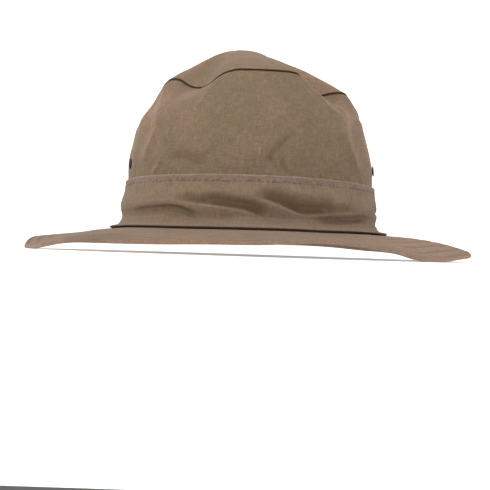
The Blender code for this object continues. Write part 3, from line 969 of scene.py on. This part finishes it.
def makeBand():
    around = azimuths(band["around"])[None, :]
    half = band["wall"] / 2
    low, high = band["rows"][0][0], band["rows"][-1][0] - half
    heights = np.linspace(low, high, band["wallRings"])
    levels = heights[:, None]
    outer = bandFace(around, levels)
    flare = flareRings(around)
    neck = smoothRings(np.concatenate([flare, outer[:5:4]]), band["flareSteps"])[:-2]
    turns = np.radians(np.arange(*band["edgeTurns"]))
    middle = crownPoint(around, high) + out(around, bandStandoff(around, high) + half)
    hem = roundedEdge(middle, around, half * np.cos(turns), half * np.sin(turns))
    back = np.linspace(high, low, band["innerRings"])
    inner = crownPoint(around, back[:, None]) + out(around, bandStandoff(around, back[:, None]))
    sole = flare[::-1] - upward(band["wall"])
    lip = roundedEdge(flare[:1] - upward(half), around, half * np.sin(turns), -half * np.cos(turns))
    parts = (lip, neck, outer, hem, inner, sole[:-1])
    rings = np.concatenate(parts)
    count = [len(part) for part in parts]
    lipShade = ramp(np.cos(turns), *band["lipShade"])
    # painted shadow under the flange's edge, and on the sole that lies on the brim
    paintedFlangeShadow = np.concatenate([lipShade, np.zeros(sum(count[1:5])), np.ones(count[5])])
    folded, spots = np.zeros((2, sum(count), band["around"]))
    front = slice(sum(count[:2]), sum(count[:3]))
    folded[front] = foldLines(around, levels, band["folds"])[1]
    folded[count[0]:front.start] = foldLines(around, neck[..., 2], band["folds"])[1]
    spots[front] = crimps(around, levels)
    # painted shade in the folds, less at the sides and the back, and at the hem's crimps
    kept = 1 - band["sideShade"] * ramp(np.abs(turnBetween(around, 0)), *band["sideAzimuths"])
    shade = band["foldShade"] * kept * folded ** band["foldFalloff"] + band["crimpShade"] * spots
    shade = np.maximum(paintedFlangeShadow[:, None], shade)
    edge, strip = np.zeros((2, sum(count)))
    edge[front] = ramp(heights, *band["hemEdge"])
    edge[front.stop:front.stop + count[3]] = 1
    strip[front] = ramp(heights, *band["stripEdge"])
    # painted highlight on the hem's top edge; the folds are painted browner, painted shade
    blush = band["plainBlush"] + band["hemPaintedHighlight"] * edge[:, None] + band["stripBlush"] * strip[:, None]
    blush = blush + band["foldShadeBlush"] * folded
    first, second = band["flangeThreads"]
    threadHeights = [np.linspace(first, second, count[0]), np.linspace(second, low, count[1]), heights]
    threadHeights += [np.full(count[3], high), back, np.full(count[5], first)]
    threads = cylinderThreads(np.concatenate(threadHeights), band["around"])
    return makeMesh("band_cloth", rings, threads, {"blush": blush, "shade": shade})


bandCloth = makeBand()
print("band made")


# Vent eyelets of dark metal

eyelet = {
    # azimuth and height of each
    "places": {
        "left_front": (-66, 0.059),
        "left_rear": (-103, 0.059),
        "right_front": (77, 0.0608),
        "right_rear": (114, 0.0608),
    },
    "holeRadius": 0.0018,
    "barrelRadius": 0.0023,
    "flangeRadius": 0.0036,
    "rim": 0.0009,
    "back": 0.0006,
    "room": 0.0006,
    "sides": 40,
    "crestSteps": 12,
    "sharpAngle": 50,
    "nearby": (0.5, 0.0005),  # degrees and metres to the points that show how the cloth faces
    "cutSides": 24,
    "cutReach": 0.005,
    "dark": (0.016, 0.013, 0.011),
    "wearAndPaintedLight": (0.06, 0.047, 0.036),
    "wearSize": 900,
    "roughness": 0.28,
    "roughnessSpread": 0.25,
    "metallic": 0.85,
}


def eyeletFrame(azimuth, height):
    turn, rise = eyelet["nearby"]
    at = np.array([azimuth, azimuth + turn, azimuth - turn, azimuth, azimuth])
    high = height + np.array([0, 0, 0, rise, -rise])
    centre, after, before, above, below = crownPoint(at, high)
    facing = Vector(np.cross(after - before, above - below)).normalized()
    return Matrix.Translation(centre) @ facing.to_track_quat("Z", "Y").to_matrix().to_4x4()


def turnedObject(name, section, sides, placement):  # a closed section of (radius, height) turned round
    angles = np.radians(azimuths(sides))[:, None]
    radius, height = np.array(section).T
    rings = np.stack([np.cos(angles) * radius, np.sin(angles) * radius, height + 0 * angles], -1)
    count = len(section)
    ring, step = np.meshgrid(np.arange(sides), np.arange(count), indexing="ij")
    after, beside = (ring + 1) % sides, (step + 1) % count
    corners = [(ring, step), (after, step), (after, beside), (ring, beside)]
    faces = np.stack([r * count + s for r, s in corners], -1)
    mesh = newMesh(name, rings.reshape(-1, 3).tolist(), faces.reshape(-1, 4).tolist())
    mesh.transform(placement)
    mesh.set_sharp_from_angle(angle=math.radians(eyelet["sharpAngle"]))
    return newObject(name, mesh)


def eyeletSection():
    front, back = crown["gap"], -crown["wall"] - eyelet["room"]
    hole, barrel, flange = eyelet["holeRadius"], eyelet["barrelRadius"], eyelet["flangeRadius"]
    middle, half = (hole + flange) / 2, (flange - hole) / 2
    turns = np.radians(np.linspace(0, 180, eyelet["crestSteps"] + 1))
    crest = [(middle + half * math.cos(turn), front + eyelet["rim"] * math.sin(turn)) for turn in turns]
    return [
        (hole, back - eyelet["back"]),
        (flange, back - eyelet["back"]),
        (flange, back),
        (barrel, back),
        (barrel, front),
        *crest,
    ]


def makeEyeletMetal():
    made, shader = principled("eyelet_metal_look", {"Metallic": eyelet["metallic"]})
    wear = mixInto(made, shader, eyelet["dark"], eyelet["wearAndPaintedLight"], eyelet["wearSize"], 4)
    rough = doMath(made.node_tree, "MULTIPLY_ADD", wear, eyelet["roughnessSpread"], eyelet["roughness"])
    made.node_tree.links.new(rough, shader.inputs["Roughness"])
    return made


def makeEyelets(metal):
    vents = []
    for place, (azimuth, height) in eyelet["places"].items():
        placement = eyeletFrame(azimuth, height)
        ring = turnedObject(f"eyelet_{place}_ring", eyeletSection(), eyelet["sides"], placement)
        dress(ring, metal, "eyelet_metal", f"eyelet_{place}")
        radius = eyelet["barrelRadius"] + crown["gap"] / 2
        vents.append((placement, radius))
    return vents


def cutVents(piece, vents):  # round holes that the barrels pass through
    cutters = []
    sides = eyelet["cutSides"]
    walls = [(k, (k + 1) % sides, sides + (k + 1) % sides, sides + k) for k in range(sides)]
    lids = [tuple(range(sides - 1, -1, -1)), tuple(range(sides, 2 * sides))]
    for number, (placement, radius) in enumerate(vents):
        circle = [(radius * math.cos(a), radius * math.sin(a)) for a in np.radians(azimuths(sides))]
        ends = [(x, y, z) for z in (-eyelet["cutReach"], eyelet["cutReach"]) for x, y in circle]
        mesh = newMesh(f"vent_cutter_{number}", ends, walls + lids, smooth=False)
        mesh.transform(placement)
        cutter = newObject(mesh.name, mesh)
        cut = piece.modifiers.new(cutter.name, "BOOLEAN")
        cut.operation, cut.object = "DIFFERENCE", cutter
        cutters.append(cutter)
    shaped = piece.evaluated_get(bpy.context.evaluated_depsgraph_get())
    whole = piece.data
    piece.data = bpy.data.meshes.new_from_object(shaped)
    piece.modifiers.clear()
    bpy.data.meshes.remove(whole)
    for cutter in cutters:
        bpy.data.objects.remove(cutter)


vents = makeEyelets(makeEyeletMetal())
cutVents(crownSide, vents)
print("eyelets made")


# Stitches: short arched threads laid along the cloth

stitching = {
    "pitch": 0.0033,
    "length": 0.0025,
    "radius": 0.00024,
    "sides": 6,
    "sunk": 0.0001,  # how deep the ends pull into the cloth
    # share of the length, lift and thickness, where 1 is the depth sunk and the radius
    "profile": (
        (0.0, -1.0, 0.0),
        (0.12, 0.1, 0.85),
        (0.5, 1.0, 1.0),
        (0.88, 0.1, 0.85),
        (1.0, -1.0, 0.0),
    ),
    "traced": 720,  # points round the hat that a row is measured by
    "nearby": (0.3, 0.01),  # degrees and share to the points that show how the brim faces
    # how far the middle of the thread stands off the cloth
    "topLift": 0.00008,
    "underLift": 0.00004,
    "hemLift": 0.00005,
    "flangeLift": 0.00006,
    "flangeShare": 0.152,
    "colour": (0.25, 0.176, 0.112),
    # the hem's thread, painted darker so that it also stands for the shadow of the puckers at its stitches
    "hemShadowColour": (0.12, 0.08, 0.06),
    "darkShare": 0.75,
    "strandSize": 2400,
    "inputs": {"Roughness": 0.7, "Sheen Weight": 0.2},
}


def makeStitches(name, rows):  # each row is a function from azimuths to points on the cloth and their normals
    shares, lifts, sizes = np.array(stitching["profile"]).T
    lifts, sizes = lifts * stitching["sunk"], sizes * stitching["radius"]
    turns = np.radians(azimuths(stitching["sides"]))
    traced = azimuths(stitching["traced"])
    points, faces, start = [], [], 0
    for row in rows:
        ring = row(traced)[0]
        length = np.linalg.norm(np.diff(ring, axis=0, append=ring[:1]), axis=1)
        count = int(length.sum() / stitching["pitch"])
        passed = np.concatenate([[0], np.cumsum(length)])
        begins = np.arange(count) * stitching["pitch"]
        fromTurn, toTurn = (np.interp(begins + late, passed, np.append(traced, 360))
                            for late in (0, stitching["length"]))
        (first, normal), last = row(fromTurn), row(toTurn)[0]
        way = last - first
        side = np.cross(way, normal)
        side /= np.linalg.norm(side, axis=1, keepdims=True)
        centres = first[:, None] + way[:, None] * shares[:, None] + normal[:, None] * lifts[:, None]
        circle = side[:, None] * np.cos(turns)[:, None] + normal[:, None] * np.sin(turns)[:, None]
        tube = centres[:, 1:4, None] + circle[:, None] * sizes[1:4, None, None]
        points.append(np.concatenate([tube.reshape(count, -1, 3), centres[:, ::4]], 1).reshape(-1, 3))
        faces.append(stitchFaces() + np.arange(count)[:, None, None] * (3 * len(turns) + 2) + start)
        start += len(points[-1])
    points = np.concatenate(points)
    points[:, 2] = np.maximum(points[:, 2], brim["floorGap"])
    return newObject(name, newMesh(name, points.tolist(), np.concatenate(faces).reshape(-1, 3).tolist()))


def stitchFaces():  # triangles of one stitch: two rings of sides, and a point at each end
    sides = stitching["sides"]
    faces = []
    for step in range(sides):
        after = (step + 1) % sides
        for ring in (0, sides):
            here, there, beyond = ring + step, ring + after, ring + sides + after
            faces += [(here, there, beyond), (here, beyond, here + sides)]
        faces += [(3 * sides, after, step), (3 * sides + 1, 2 * sides + step, 2 * sides + after)]
    return np.array(faces)


def brimRow(inwards, under):  # a row of stitches round the brim, above or under it
    turn, step = stitching["nearby"]

    def spot(azimuth, share):
        if under:
            lift = brim["underQuilt"] * quilting(share) - stitching["underLift"]
            return brimPoint(azimuth, share) + upward(lift)
        return brimTop(azimuth, share) + upward(stitching["topLift"])

    def place(azimuth):
        share = 1 - inwards / brim["width"]
        along = spot(azimuth + turn, share) - spot(azimuth - turn, share)
        across = spot(azimuth, share - step) - spot(azimuth, share + step)
        normal = np.cross(along, across) * (-1 if under else 1)
        normal[:, 2] = np.abs(normal[:, 2]) * (-1 if under else 1)
        return spot(azimuth, share), normal / np.linalg.norm(normal, axis=1, keepdims=True)

    return place


def hemRow(azimuth):
    return bandFace(azimuth, band["hemStitch"]) + out(azimuth, stitching["hemLift"]), outward(azimuth)


def flangeRow(azimuth):
    share = stitching["flangeShare"]
    lift = np.interp(share, *np.array(band["flare"])[::-1].T) + crown["gap"] + band["wall"]
    lift = brim["wall"] + lift + stitching["flangeLift"]
    return brimPoint(azimuth, share) + upward(lift), upward(1 + 0 * azimuth)


def makeThread(name, colour):
    made, shader = principled(name, stitching["inputs"])
    dark = [stitching["darkShare"] * part for part in colour]
    mixInto(made, shader, dark, colour, stitching["strandSize"], 2)
    return made


def makeSewing():
    thread = makeThread("thread_look", stitching["colour"])
    hemThread = makeThread("hem_thread_look", stitching["hemShadowColour"])
    above = [brimRow(inwards, False) for inwards in brim["stitchRows"]]
    under = [brimRow(inwards, True) for inwards in brim["stitchRows"]]
    dress(makeStitches("brim_stitches_top", above), thread, "brim_cotton")
    dress(makeStitches("brim_stitches_under", under), thread, "brim_cotton")
    dress(makeStitches("band_hem_stitches", [hemRow]), hemThread, "band_cotton")
    dress(makeStitches("band_flange_stitches", [flangeRow]), thread, "band_cotton")


makeSewing()
print("stitches made")

dress(crownSide, crownCotton, "crown_cotton", "crown_side")
dress(crownTip, crownCotton, "crown_cotton", "crown_tip")
dress(bandCloth, bandCotton, "band_cotton", "band")
dress(brimCloth, brimCotton, "brim_cotton", "brim")


# Studio: pale floor that sweeps up into a backdrop, soft lights, and the camera

studio = {
    "floorColour": (0.93, 0.925, 0.92, 1),
    "floorRoughness": 0.9,
    "floorGloss": 0.1,
    "sides": 96,
    "floorRadius": 2.2,
    "sweepRadius": 1.2,
    "wallHeight": 2.2,
    # name, place, size, watts, colour
    "lights": (
        ("overhead", (-0.12, -0.3, 1.3), 0.7, 8.4, (1.0, 0.98, 0.95)),
        ("left", (-1.25, -0.45, 0.6), 0.8, 5, (1.0, 0.95, 0.92)),
        ("right", (1.25, -0.4, 0.6), 0.8, 2.1, (1.0, 0.95, 0.92)),
        ("back", (0.0, 1.3, 0.9), 1.2, 3, (1.0, 0.98, 0.96)),
    ),
    "lightsAim": (0, 0, 0.06),
    "sky": 0.15,
    "skyColour": (1, 0.99, 0.98, 1),
    "wallGlow": 0.62,
    "floorGlow": 0.36,
    "lens": 59.44,
    "camera": (0.0, -0.58, 0.003),
    "roll": 1.9,
    "shift": (-0.0057, 0.012),
}


def makePaper(name, glow):
    return principled(name, {
        "Base Color": studio["floorColour"],
        "Roughness": studio["floorRoughness"],
        "Specular IOR Level": studio["floorGloss"],
        "Emission Color": studio["floorColour"],
        "Emission Strength": glow,
    })[0]


def makeSheet(name, section, paper):  # (radius, height) turned round the middle of the room
    sides = studio["sides"]
    angles = np.radians(azimuths(sides))
    points = [(r * math.cos(a), r * math.sin(a), z) for r, z in section for a in angles]
    faces = []
    for ring in range(0, sides * (len(section) - 1), sides):
        for side in range(sides):
            after = (side + 1) % sides
            faces.append((ring + sides + side, ring + sides + after, ring + after, ring + side))
    if section[0][1] == section[1][1]:  # level, so its middle is closed
        faces.append(tuple(range(sides)))
    mesh = newMesh(name, points, faces)
    mesh.materials.append(paper)
    sheet = newObject(name, mesh)


def makeRoom():
    radius, bend = studio["floorRadius"], studio["sweepRadius"]
    floor = [(inner, 0) for inner in (0.02, 0.5, 1.0, radius)]
    turns = np.radians(np.linspace(0, 90, 19))
    sweep = [(radius + bend * math.sin(turn), bend - bend * math.cos(turn)) for turn in turns]
    sweep.append((radius + bend, studio["wallHeight"]))
    makeSheet("floor_sheet", floor, makePaper("floor_paper", studio["floorGlow"]))
    makeSheet("backdrop_sheet", sweep, makePaper("backdrop_paper", studio["wallGlow"]))


def makeLights():
    for name, place, size, watts, colour in studio["lights"]:
        lamp = bpy.data.lights.new(name, "AREA")
        lamp.shape, lamp.size, lamp.energy, lamp.color = "DISK", size, watts, colour
        made = newObject(name, lamp)
        made.location = place
        made.rotation_mode = "QUATERNION"
        made.rotation_quaternion = (Vector(studio["lightsAim"]) - Vector(place)).to_track_quat("-Z", "Y")
        made.visible_camera = False
    sky = bpy.data.worlds.new("sky")
    sky.use_nodes = True
    background = sky.node_tree.nodes["Background"]
    background.inputs["Color"].default_value = studio["skyColour"]
    background.inputs["Strength"].default_value = studio["sky"]
    bpy.context.scene.world = sky


def makeCamera():
    lens = bpy.data.cameras.new("camera")
    lens.sensor_width, lens.lens = 36, studio["lens"]
    lens.shift_x, lens.shift_y = studio["shift"]
    lens.clip_start = 0.01
    made = newObject("camera", lens)
    made.location = studio["camera"]
    turn = Matrix.Rotation(math.radians(90), 4, "X") @ Matrix.Rotation(math.radians(studio["roll"]), 4, "Z")
    made.rotation_euler = turn.to_euler()
    bpy.context.scene.camera = made


makeRoom()
makeLights()
makeCamera()
bpy.context.scene.view_settings.view_transform = "Standard"
print("studio made")
